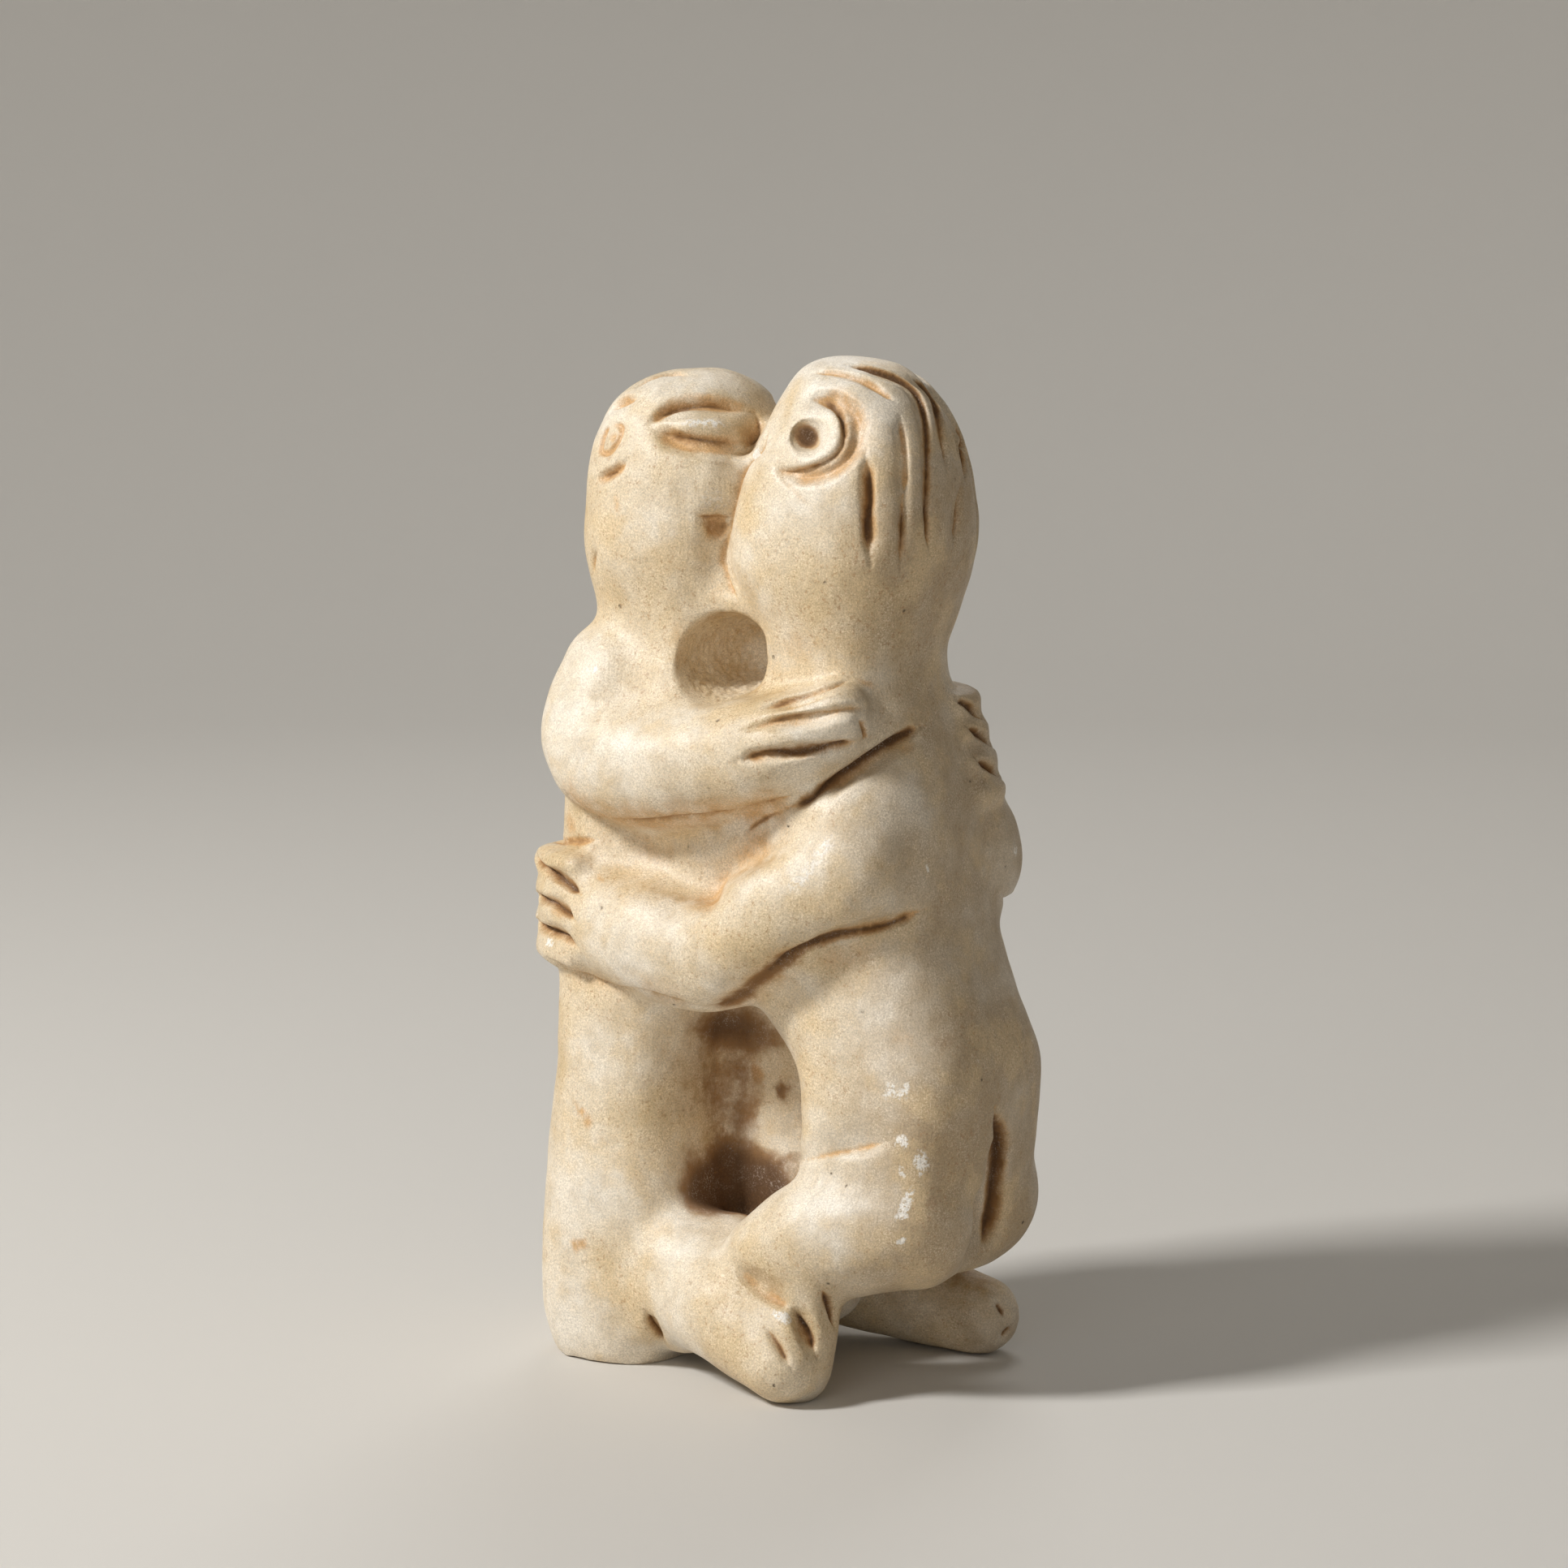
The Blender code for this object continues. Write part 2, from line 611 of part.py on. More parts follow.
def grind_flats(couple, height):
    """Cuts the undersides off level at a height, so that it stands on flats."""
    bm = bmesh.new()
    bm.from_mesh(couple.data)
    whole = bm.verts[:] + bm.edges[:] + bm.faces[:]
    cut = bmesh.ops.bisect_plane(
        bm, geom=whole, plane_co=(0, 0, height), plane_no=(0, 0, 1), dist=GROUND_TOUCH, clear_inner=True
    )
    rims = [piece for piece in cut["geom_cut"] if isinstance(piece, bmesh.types.BMEdge)]
    bmesh.ops.holes_fill(bm, edges=rims, sides=0)
    bmesh.ops.triangulate(bm, faces=bm.faces)
    bm.to_mesh(couple.data)
    bm.free()


def stand_at_real_size(couple):
    """Scales it to its height, with the middle of its footprint's box at the origin."""
    corners = np.array(couple.bound_box)
    low, high = corners.min(axis=0), corners.max(axis=0)
    scale = FIGURE_HEIGHT / (high[2] - low[2])
    middle = Vector(((low[0] + high[0]) / 2, (low[1] + high[1]) / 2, low[2]))
    couple.data.transform(Matrix.Scale(scale, 4) @ Matrix.Translation(-middle))
    couple.data.shade_smooth()


def main():
    clear_scene()
    figurine = new_collection("embracing_couple_figurine")
    couple = add_object("embracing_couple", rough_block(), figurine)
    fuse_block(couple, ROUNDING_PASSES)
    add_fingers(couple)
    fuse_block(couple, SOFTENING_PASSES)
    carve(couple)
    grind_flats(couple, 0.0)
    lighten(couple)
    grind_flats(couple, LAST_GRINDING)
    stand_at_real_size(couple)
    couple.data.materials.append(stone_material())


main()
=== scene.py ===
# Looks of the stone figurine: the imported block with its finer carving, stone, dirt and wear.
import math

import bmesh
import bpy
import numpy as np
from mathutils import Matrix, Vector, noise
from mathutils.bvhtree import BVHTree
from mathutils.kdtree import KDTree


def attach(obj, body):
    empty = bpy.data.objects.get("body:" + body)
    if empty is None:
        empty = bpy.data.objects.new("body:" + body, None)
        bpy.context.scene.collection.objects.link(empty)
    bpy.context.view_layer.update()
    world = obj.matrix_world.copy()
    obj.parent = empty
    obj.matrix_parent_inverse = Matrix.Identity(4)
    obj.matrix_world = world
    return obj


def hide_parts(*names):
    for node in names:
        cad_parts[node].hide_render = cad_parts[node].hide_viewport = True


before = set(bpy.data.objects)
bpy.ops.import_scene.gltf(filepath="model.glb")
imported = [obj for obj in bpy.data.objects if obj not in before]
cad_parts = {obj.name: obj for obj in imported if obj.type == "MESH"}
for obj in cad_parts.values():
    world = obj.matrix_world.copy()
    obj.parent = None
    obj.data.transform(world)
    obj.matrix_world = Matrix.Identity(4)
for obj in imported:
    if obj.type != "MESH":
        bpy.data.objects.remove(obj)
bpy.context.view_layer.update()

# The camera. Marks on the stone are (right, down) in pixels on the square picture that it takes.
picture = {
    "side": 1932,
    "turn": 30.0,  # degrees round from the near side, which faces -Y, towards +X
    "rise": 7.5,
    "distance": 0.5063,  # metres
    "lookAt": (0.0, 0.00116, 0.0683),
    "lens": 100.0,  # millimetres
    "sensor": 36.0,
    "nearest": 0.01,
}
middlePlane = 0.00116  # y of the plane that the far side mirrors the near side in
mm = 0.001


def cameraAxes():
    turn, rise = math.radians(picture["turn"]), math.radians(picture["rise"])
    back = Vector((math.sin(turn) * math.cos(rise), -math.cos(turn) * math.cos(rise), math.sin(rise)))
    right = Vector((math.cos(turn), math.sin(turn), 0.0))
    return right, back.cross(right), back


def cameraPlace():
    return Vector(picture["lookAt"]) + cameraAxes()[2] * picture["distance"]


def sightLine(mark):
    right, up, back = cameraAxes()
    side = picture["side"]
    across, down = mark[0] - side / 2, mark[1] - side / 2
    return (right * across - up * down - back * (side * picture["lens"] / picture["sensor"])).normalized()


# The stone's surface as arrays, so that whole strokes and stains are worked out at once

def valuesOf(items, name, width, kind=np.float32):
    found = np.empty(len(items) * width, kind)
    items.foreach_get(name, found)
    return found.reshape(-1, width)


class StoneSurface:
    def __init__(self, mesh):
        self.mesh = mesh
        self.places = valuesOf(mesh.vertices, "co", 3).astype(float)
        self.ends = valuesOf(mesh.edges, "vertices", 2, np.int32)
        self.neighbours = np.bincount(self.ends.ravel(), minlength=len(self.places))

    def evened(self, values, passes):  # averages each point with its neighbours
        one, other = self.ends.T
        count = len(self.places)
        for _ in range(passes):
            around = [np.bincount(one, v[other], count) + np.bincount(other, v[one], count) for v in values.T]
            values = (values + np.stack(around, axis=1) / self.neighbours[:, None]) / 2
        return values

    def settle(self):
        self.mesh.vertices.foreach_set("co", self.places.astype(np.float32).ravel())
        self.mesh.update()
        self.outward = valuesOf(self.mesh.vertex_normals, "vector", 3).astype(float)
        self.tree = BVHTree.FromPolygons(
            self.places.tolist(), [list(face.vertices) for face in self.mesh.polygons]
        )


def ripple(places, size, offset=0.0):  # smooth noise from -1 to 1, with bumps of about this size
    return np.array([noise.noise(place) for place in (places / size + offset).tolist()]) * 2


def step(values, low, high):  # 0 below low, 1 above high, smooth between
    share = np.clip((values - low) / (high - low), 0, 1)
    return share * share * (3 - 2 * share)


def curved(points, steps):  # a smooth line through the points
    points = [np.array(point, float) for point in points]
    ends = [2 * points[0] - points[1]] + points + [2 * points[-1] - points[-2]]
    found = []
    for a, b, c, d in zip(ends, ends[1:], ends[2:], ends[3:]):
        for i in range(steps):
            t = i / steps
            found.append(b + 0.5 * t * (c - a + t * (2 * a - 5 * b + 4 * c - d + t * (3 * (b - c) + d - a))))
    return found + [points[-1]]


strokeShapes = {  # how the cut falls from its middle to its rim: (wall, lip)
    "round": (2.0, 1.5),
    "vee": (1.0, 1.2),
    "flat": (7.0, 1.0),
    "soft": (2.0, 2.5),
    "ledge": (1.0, 1.6),  # only on the side that is at the right hand, going from mark to mark
}
strokeLine = {
    "steps": 6,  # points to each gap between marks
    "fade": 5,  # points over which a stroke runs out at each end
    "end": 0.25,  # share of it left at the very end
    "evening": 3,  # points each way over which its direction is evened out
    "ledgeWall": 0.16,  # how narrow the steep side of a ledge is beside its flat side
    "edgeStep": 0.5 * mm,  # between points where a stroke is carried round an edge
    "keptOff": 4 * mm,  # how far the far side's strokes stay off the middle
    "ochreWidth": 1.6,  # of the ochre along a cut, in widths of the cut
    "brownWidth": 0.8,
}
tiny = 1e-12  # keeps a stroke of one point from dividing by nought


def onStone(surface, marks):
    dense = curved(marks, strokeLine["steps"]) if len(marks) > 1 else marks
    eye = cameraPlace()
    hits = [surface.tree.ray_cast(eye, sightLine(mark))[0] for mark in dense]
    return [hit for hit in hits if hit is not None]


def mirrored(surface, line):
    return [surface.tree.find_nearest(Vector((x, 2 * middlePlane - y, z)))[0] for x, y, z in reversed(line)]


def overEdge(surface, line, length):  # carries a line on past its first mark, round the edge
    for _ in range(round(length / strokeLine["edgeStep"])):
        onward = (line[0] - line[1]).normalized() * strokeLine["edgeStep"]
        line = [surface.tree.find_nearest(line[0] + onward)[0]] + line
    return line


def brush(surface, line, width, shape):  # points within a stroke, how fully, and which way is out there
    reach = width / 2
    wall, lip = strokeShapes[shape]
    last = len(line) - 1
    normals = np.array([surface.tree.find_nearest(place)[1] for place in line])
    spread = strokeLine["evening"]
    out = np.array([normals[max(i - spread, 0) : i + spread + 1].mean(axis=0) for i in range(last + 1)])
    out /= np.linalg.norm(out, axis=1)[:, None]
    line = np.array(line)
    inside = (surface.places > line.min(axis=0) - reach) & (surface.places < line.max(axis=0) + reach)
    near = np.flatnonzero(inside.all(axis=1))
    places = surface.places[near]
    best = np.full(len(near), np.inf)
    along = np.zeros(len(near))
    side = np.ones(len(near))
    for i, (start, end) in enumerate(zip(line, np.vstack([line[1:], line[-1:]]))):
        run = end - start
        t = np.clip((places - start) @ run / max(run @ run, tiny), 0, 1)
        away = places - start - t[:, None] * run
        gap = np.linalg.norm(away, axis=1)
        closer = gap < best
        best[closer] = gap[closer]
        along[closer] = i + t[closer]
        side[closer] = np.sign(away[closer] @ np.cross(run, out[i]))
    taper = np.ones(len(near))
    if last:
        fade = min(strokeLine["fade"], last / 3)
        taper = np.clip(np.minimum(along, last - along) / fade, strokeLine["end"], 1)
    if shape == "ledge":
        best = np.where(side > 0, best, best / strokeLine["ledgeWall"])
    share = np.clip(1 - (best / (reach * np.sqrt(taper))) ** wall, 0, 1) ** lip * taper
    touched = share > 0
    return near[touched], share[touched], out[np.round(along).astype(int)][touched]


def paint(surface, layer, line, width, strength):
    near, share, _ = brush(surface, line, width * mm, "round")
    layer[near] = np.maximum(layer[near], strength * share)


# The block

block = {
    "node": "embracing_couple",
    "weld": 0.001 * mm,  # points closer than this become one
    "spacing": 0.27 * mm,  # between points while it is carved
    "facetPasses": 42,  # evening that takes the solid's facets off
    "facetDepth": 0.13 * mm,  # the most that it may move a point, so that the carving stays
    "settlingPasses": 5,
    "formPasses": 70,  # evening that the forms are compared with, to bring them out
    "formGain": 0.45,
    "formDepth": 0.22 * mm,
    "browner": (6 * mm, 26 * mm),  # where along X the stone turns from cream to brown: the right figure's greyer stone, and painted shade on its back
    "triangles": 190000,  # kept in the end
    "hollowPasses": 60,  # evening that hollows and high edges are told by
    "groovePasses": 8,
    "hollow": (0.05, 0.55),  # millimetres below the evened stone where dirt and painted shade start and are full
    "groove": (0.02, 0.16),
    "edge": (0.12, 0.5),  # millimetres above it where the stone is rubbed
    "hiddenPasses": 6,
}


def copyOfNode(name):
    bm = bmesh.new()
    bm.from_mesh(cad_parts[name].data)
    bmesh.ops.remove_doubles(bm, verts=bm.verts, dist=block["weld"])
    mesh = bpy.data.meshes.new("carved couple")
    bm.to_mesh(mesh)
    bm.free()
    return mesh


def limited(move, most):
    length = np.linalg.norm(move, axis=1)
    return move * (most / np.maximum(length, most))[:, None]


def takeFacetsOff(surface):
    move = surface.evened(surface.places, block["facetPasses"]) - surface.places
    smoothed = surface.places + limited(move, block["facetDepth"])
    surface.places = surface.evened(smoothed, block["settlingPasses"])


def bringOutForms(surface):
    move = (surface.places - surface.evened(surface.places, block["formPasses"])) * block["formGain"]
    surface.places += limited(move, block["formDepth"])


def withModifier(mesh, kind, **settings):
    thing = bpy.data.objects.new("stone", mesh)
    bpy.context.scene.collection.objects.link(thing)
    made = thing.modifiers.new(kind, kind)
    for name, value in settings.items():
        setattr(made, name, value)
    changed = bpy.data.meshes.new_from_object(thing.evaluated_get(bpy.context.evaluated_depsgraph_get()))
    bpy.data.objects.remove(thing)
    bpy.data.meshes.remove(mesh)
    return changed


seam = (
    (950, 512), (943, 533), (939, 552), (925, 570), (914, 591), (906, 615), (898, 650), (892, 680),
    (894, 703), (901, 724), (913, 748),
)

# Strokes: each cut has its marks, width and depth in millimetres, and shape. Earth in them is ochre
# towards the rim and brown at the bottom.
strokes = {
    "slit eye": {"ochre": 1.0, "brown": 0.25, "cuts": [
        (((798, 522), (812, 512), (832, 504), (862, 500), (895, 503), (929, 509)), 1.7, 0.65, "vee"),
        (((803, 526), (825, 538), (860, 544), (890, 547), (921, 545)), 2.3, 0.65, "vee"),
        (((929, 507), (935, 525), (930, 541), (919, 550)), 1.4, 0.6, "vee"),
    ]},
    "slit eyeball": {"ochre": 0.0, "brown": 0.0, "cuts": [
        (((818, 521), (868, 521), (914, 528)), 2.2, -0.35, "round"),
    ]},
    "ring eye slope": {"ochre": 0.9, "brown": 0.0, "cuts": [
        (((1010, 487), (1032, 492), (1050, 506), (1057, 525), (1054, 547), (1044, 566), (1022, 581),
          (995, 588), (970, 588)), 2.9, 0.4, "soft"),
    ]},
    "ring eye": {"ochre": 0.9, "brown": 0.3, "cuts": [
        (((1003, 491), (1022, 496), (1036, 508), (1042, 527), (1039, 547), (1028, 563), (1010, 574),
          (988, 581), (966, 582), (953, 574)), 1.5, 0.7, "vee"),
    ]},
    "pupil": {"ochre": 0.0, "brown": 2.0, "cuts": [
        (((996, 539),), 4.2, 0.6, "flat"),
    ]},
    "left ear": {"ochre": 1.0, "brown": 0.35, "cuts": [
        (((752, 522), (764, 525), (765, 533), (758, 548), (749, 558), (740, 556), (741, 546), (746, 533),
          (752, 522)), 1.0, 0.4, "round"),
        (((757, 530), (750, 548)), 1.6, 0.3, "round"),
    ]},
    "left hair": {"ochre": 0.9, "brown": 0.35, "cuts": [
        (((751, 510), (765, 497), (789, 489)), 1.8, 0.6, "round"),
        (((728, 593), (750, 586), (762, 578), (774, 566)), 1.8, 0.7, "vee"),
        (((776, 482), (800, 468), (825, 462), (857, 464)), 1.4, 0.5, "round"),
        (((731, 708), (734, 694), (738, 678)), 1.4, 0.6, "round"),
    ]},
    "left mouth": {"ochre": 0.9, "brown": 0.5, "cuts": [
        (((862, 641), (880, 648), (899, 648)), 3.2, 0.55, "round"),
        (((851, 632), (875, 637), (902, 634)), 1.0, 0.35, "vee"),
    ]},
    "face seam": {"ochre": 0.2, "brown": 0.1, "cuts": [
        (seam, 2.6, 0.35, "ledge"),
        (seam, 1.0, 0.3, "vee"),
    ]},
    "cheek up to the seam": {"ochre": 0.0, "brown": 0.0, "cuts": [
        (((912, 566), (892, 602), (877, 640), (868, 685)), 9.0, -1.0, "soft"),
    ]},
    "cheek line": {"ochre": 0.5, "brown": 0.0, "cuts": [
        (((950, 570), (966, 591), (987, 614), (1010, 635)), 1.0, 0.12, "vee"),
    ]},
    "right ear": {"ochre": 0.8, "brown": 0.4, "cuts": [
        (((1066, 556), (1069, 585), (1070, 620), (1070, 655), (1073, 696)), 2.1, 0.85, "vee"),
    ]},
    "light hair": {"ochre": 0.6, "brown": 0.15, "cuts": [
        (((996, 459), (1020, 458), (1045, 463), (1070, 473), (1090, 485), (1105, 495)), 1.1, 0.45, "vee"),
        (((1109, 511), (1111, 530), (1114, 555), (1115, 585), (1113, 612)), 1.0, 0.5, "vee"),
    ]},
    "hair": {"ochre": 0.6, "brown": 0.55, "cuts": [
        (((1042, 447), (1062, 451), (1085, 457), (1105, 465), (1124, 477), (1134, 492), (1139, 510),
          (1142, 540), (1142, 575), (1141, 605), (1140, 632), (1143, 657), (1147, 684)), 1.3, 0.7, "vee"),
        (((1112, 610), (1111, 640), (1111, 670), (1110, 704)), 1.3, 0.7, "vee"),
    ]},
    "hair at the back": {"ochre": 0.6, "brown": 0.55, "nearSideOnly": True, "cuts": [
        (((1122, 463), (1140, 475), (1152, 491), (1156, 510), (1160, 537), (1165, 560),
          (1165, 582)), 1.3, 0.55, "vee"),
        (((1165, 488), (1178, 515), (1185, 545), (1188, 575), (1189, 594)), 1.4, 0.7, "vee"),
        (((1184, 592), (1180, 620), (1177, 650), (1174, 676)), 1.3, 0.6, "vee"),
    ]},
    "left hand": {"ochre": 0.6, "brown": 0.4, "nearSideOnly": True, "cuts": [
        (((932, 875), (960, 866), (985, 859), (1010, 851), (1030, 845), (1048, 837)), 1.2, 0.45, "vee"),
        (((912, 901), (940, 893), (960, 888), (985, 884), (1015, 879), (1045, 874),
          (1078, 872)), 1.4, 0.5, "vee"),
        (((908, 939), (930, 932), (950, 928), (975, 926), (1005, 923), (1035, 919),
          (1064, 915)), 2.3, 0.8, "vee"),
        (((1057, 884), (1064, 895), (1067, 906), (1062, 914)), 1.0, 0.6, "vee"),
    ]},
    "shoulder crease": {"ochre": 0.5, "brown": 0.5, "nearSideOnly": True, "cuts": [
        (((1136, 893), (1120, 903), (1098, 916), (1075, 931), (1050, 948), (1030, 961), (1010, 975),
          (992, 988), (968, 998)), 1.8, 1.15, "vee"),
    ]},
    "under left arm": {"ochre": 0.8, "brown": 0.0, "nearSideOnly": True, "cuts": [
        (((686, 962), (702, 980), (718, 993), (745, 1008), (775, 1012), (810, 1011), (850, 1007), (900, 1000),
          (945, 990), (985, 978)), 7.0, 0.8, "ledge"),
    ]},
    "hollow over the arm": {"ochre": 0.8, "brown": 0.0, "nearSideOnly": True, "cuts": [
        (((960, 1012), (930, 1040), (900, 1070), (880, 1105), (872, 1135)), 5.0, 0.5, "soft"),
        (((760, 1035), (810, 1050), (850, 1065)), 6.0, 0.4, "soft"),
    ]},
    "crease over the arm": {"ochre": 0.5, "brown": 0.6, "nearSideOnly": True, "cuts": [
        (((912, 1031), (925, 1020), (940, 1010), (955, 1003), (970, 998)), 1.0, 0.35, "vee"),
    ]},
    "arm crease": {"ochre": 0.6, "brown": 0.3, "cuts": [
        (((950, 1202), (972, 1185), (995, 1169), (1025, 1155), (1055, 1148), (1085, 1141), (1112, 1132),
          (1143, 1119)), 1.6, 0.8, "vee"),
        (((870, 1246), (900, 1236), (935, 1214), (970, 1188), (1010, 1163)), 5.5, 0.7, "soft"),
    ]},
    "under right arm": {"ochre": 0.5, "brown": 0.1, "cuts": [
        (((675, 1179), (700, 1191), (730, 1203), (765, 1214), (800, 1223), (835, 1233),
          (868, 1241)), 6.0, 0.7, "ledge"),
    ]},
    "right fingers": {"ochre": 0.7, "brown": 0.35, "overEdge": 6.0, "cuts": [
        (((674, 1073), (688, 1080), (702, 1091), (715, 1102)), 1.7, 1.25, "vee"),
        (((670, 1109), (683, 1113), (696, 1122), (708, 1135)), 1.7, 1.25, "vee"),
        (((674, 1146), (689, 1150), (702, 1158), (713, 1169)), 1.7, 1.25, "vee"),
        (((684, 1037), (700, 1036), (718, 1036), (738, 1033)), 1.1, 0.5, "vee"),
    ]},
    "fingers at the back": {"ochre": 0.4, "brown": 0.5, "overEdge": 6.0, "nearSideOnly": True, "cuts": [
        (((1188, 864), (1176, 858)), 1.7, 1.1, "vee"),
        (((1204, 902), (1190, 893)), 1.7, 1.2, "vee"),
        (((1215, 943), (1200, 932)), 1.7, 1.2, "vee"),
    ]},
    "knee ledge": {"ochre": 0.1, "brown": 0.1, "cuts": [
        (((1100, 1406), (1065, 1414), (1035, 1420), (1005, 1427), (982, 1433)), 6.0, 0.6, "ledge"),
    ]},
    "painted shade deep under the arm": {"ochre": 0.6, "brown": 0.5, "cuts": [
        # Its brown is painted shade under the forearm
        (((868, 1241), (895, 1243), (920, 1232), (945, 1212)), 4.0, 0.4, "soft"),
    ]},
    "knee crease": {"ochre": 0.0, "brown": 0.9, "cuts": [
        (((1095, 1407), (1065, 1414), (1035, 1420), (1005, 1427), (982, 1433)), 0.9, 0.35, "vee"),
    ]},
    "foot fold": {"ochre": 0.3, "brown": 0.35, "nearSideOnly": True, "cuts": [
        (((903, 1556), (920, 1574), (940, 1592), (960, 1603), (978, 1614)), 1.9, 0.5, "round"),
    ]},
    "toes": {"ochre": 0.5, "brown": 0.8, "nearSideOnly": True, "cuts": [
        (((978, 1614), (990, 1632), (998, 1649), (1006, 1672)), 1.6, 0.9, "vee"),
        (((943, 1634), (955, 1651), (965, 1668), (976, 1687)), 1.4, 0.7, "vee"),
        (((1012, 1586), (1018, 1603), (1025, 1620), (1032, 1642)), 1.7, 0.8, "vee"),
    ]},
    "leg notch": {"ochre": 0.4, "brown": 0.6, "nearSideOnly": True, "cuts": [
        (((794, 1615), (804, 1628), (813, 1641), (820, 1656)), 1.5, 0.8, "vee"),
    ]},
    "cleft": {"ochre": 0.7, "brown": 0.6, "nearSideOnly": True, "cuts": [
        (((1230, 1366), (1231, 1400), (1227, 1441), (1222, 1493), (1208, 1545)), 3.0, 1.5, "vee"),
    ]},
    "far foot": {"ochre": 0.3, "brown": 0.8, "cuts": [
        (((1226, 1602), (1232, 1612), (1238, 1624)), 1.4, 0.6, "vee"),
        (((1232, 1650), (1240, 1642), (1248, 1632)), 1.4, 0.6, "vee"),
    ]},
}


def carve(surface, layers):
    for name, group in strokes.items():
        for marks, width, depth, shape in group["cuts"]:
            line = onStone(surface, marks)
            if len(line) < min(len(marks), 2):
                print("no stone under", name)
                continue
            line = overEdge(surface, line, group.get("overEdge", 0.0) * mm)
            offMiddle = [place for place in line if place.y < middlePlane - strokeLine["keptOff"]]
            runs = [line]
            if offMiddle and not group.get("nearSideOnly"):
                runs.append(mirrored(surface, offMiddle))
            for run in runs:
                paint(surface, layers["ochre"], run, width * strokeLine["ochreWidth"], group["ochre"])
                paint(surface, layers["brown"], run, width * strokeLine["brownWidth"], group["brown"])
                near, share, out = brush(surface, run, width * mm, shape)
                surface.places[near] -= out * (depth * mm * share)[:, None]


handWork = {  # how uneven the worked surface is: size and height of the bumps in millimetres, and their place
    "broad": (9.0, 0.15, 0),
    "middle": (3.4, 0.05, 7),
}
pit = {  # between the figures' chins, a copy of it on each side; its place in metres, the rest in millimetres
    "x": -0.00199,
    "z": 0.0839,
    "radius": 5.2,
    "wall": 0.5,  # over which its rim falls
    "depth": 0.5,
    "lessShadeAndDirt": 0.45,  # how much of the painted shade and brown dirt is taken out of it
    "roughSize": 0.55,  # of the picked floor's bumps
    "roughness": 0.12,  # their height
    "roughOffset": 31,
}


def roughen(surface, layers):
    x, y, z = surface.places.T
    inPit = step(pit["radius"] * mm - np.hypot(x - pit["x"], z - pit["z"]), 0, pit["wall"] * mm)
    surface.places[:, 1] -= np.sign(y - middlePlane) * inPit * pit["depth"] * mm
    layers["lessShadeAndDirt"] = np.maximum(layers["lessShadeAndDirt"], pit["lessShadeAndDirt"] * inPit)
    heights = pit["roughness"] * inPit * ripple(surface.places, pit["roughSize"] * mm, pit["roughOffset"])
    for size, height, offset in handWork.values():
        heights += height * ripple(surface.places, size * mm, offset)
    surface.places += surface.outward * (heights * mm)[:, None]
    surface.places[:, 2] = np.maximum(surface.places[:, 2], 0)  # stays on the floor


# Dirt, wear, painted shade and painted highlights

skyRays = {
    "count": 26,
    "reach": 16 * mm,
    "lift": 0.6 * mm,
    "grazing": 0.1,  # rays flatter to the stone than this are left out
}


def hiddenShare(places, outward, tree):  # how much of what is round each point is stone
    golden = math.pi * (3 - math.sqrt(5))
    count = skyRays["count"]
    directions = []
    for i in range(count):
        height = 1 - 2 * (i + 0.5) / count
        ring = math.sqrt(1 - height * height)
        directions.append(Vector((ring * math.cos(golden * i), ring * math.sin(golden * i), height)))
    facing = outward @ np.array(directions).T
    starts = places + outward * skyRays["lift"]
    found = np.zeros(len(places))
    for i, start in enumerate(starts.tolist()):
        hit = total = 0.0
        for cosine, direction in zip(facing[i], directions):
            if cosine > skyRays["grazing"]:
                total += cosine
                if tree.ray_cast(start, direction, skyRays["reach"])[0] is not None:
                    hit += cosine
        found[i] = hit / max(total, skyRays["grazing"])
    return found


def setAttribute(mesh, name, values):
    made = mesh.attributes.new(name, "FLOAT", "POINT")
    made.data.foreach_set("value", values.astype(np.float32))


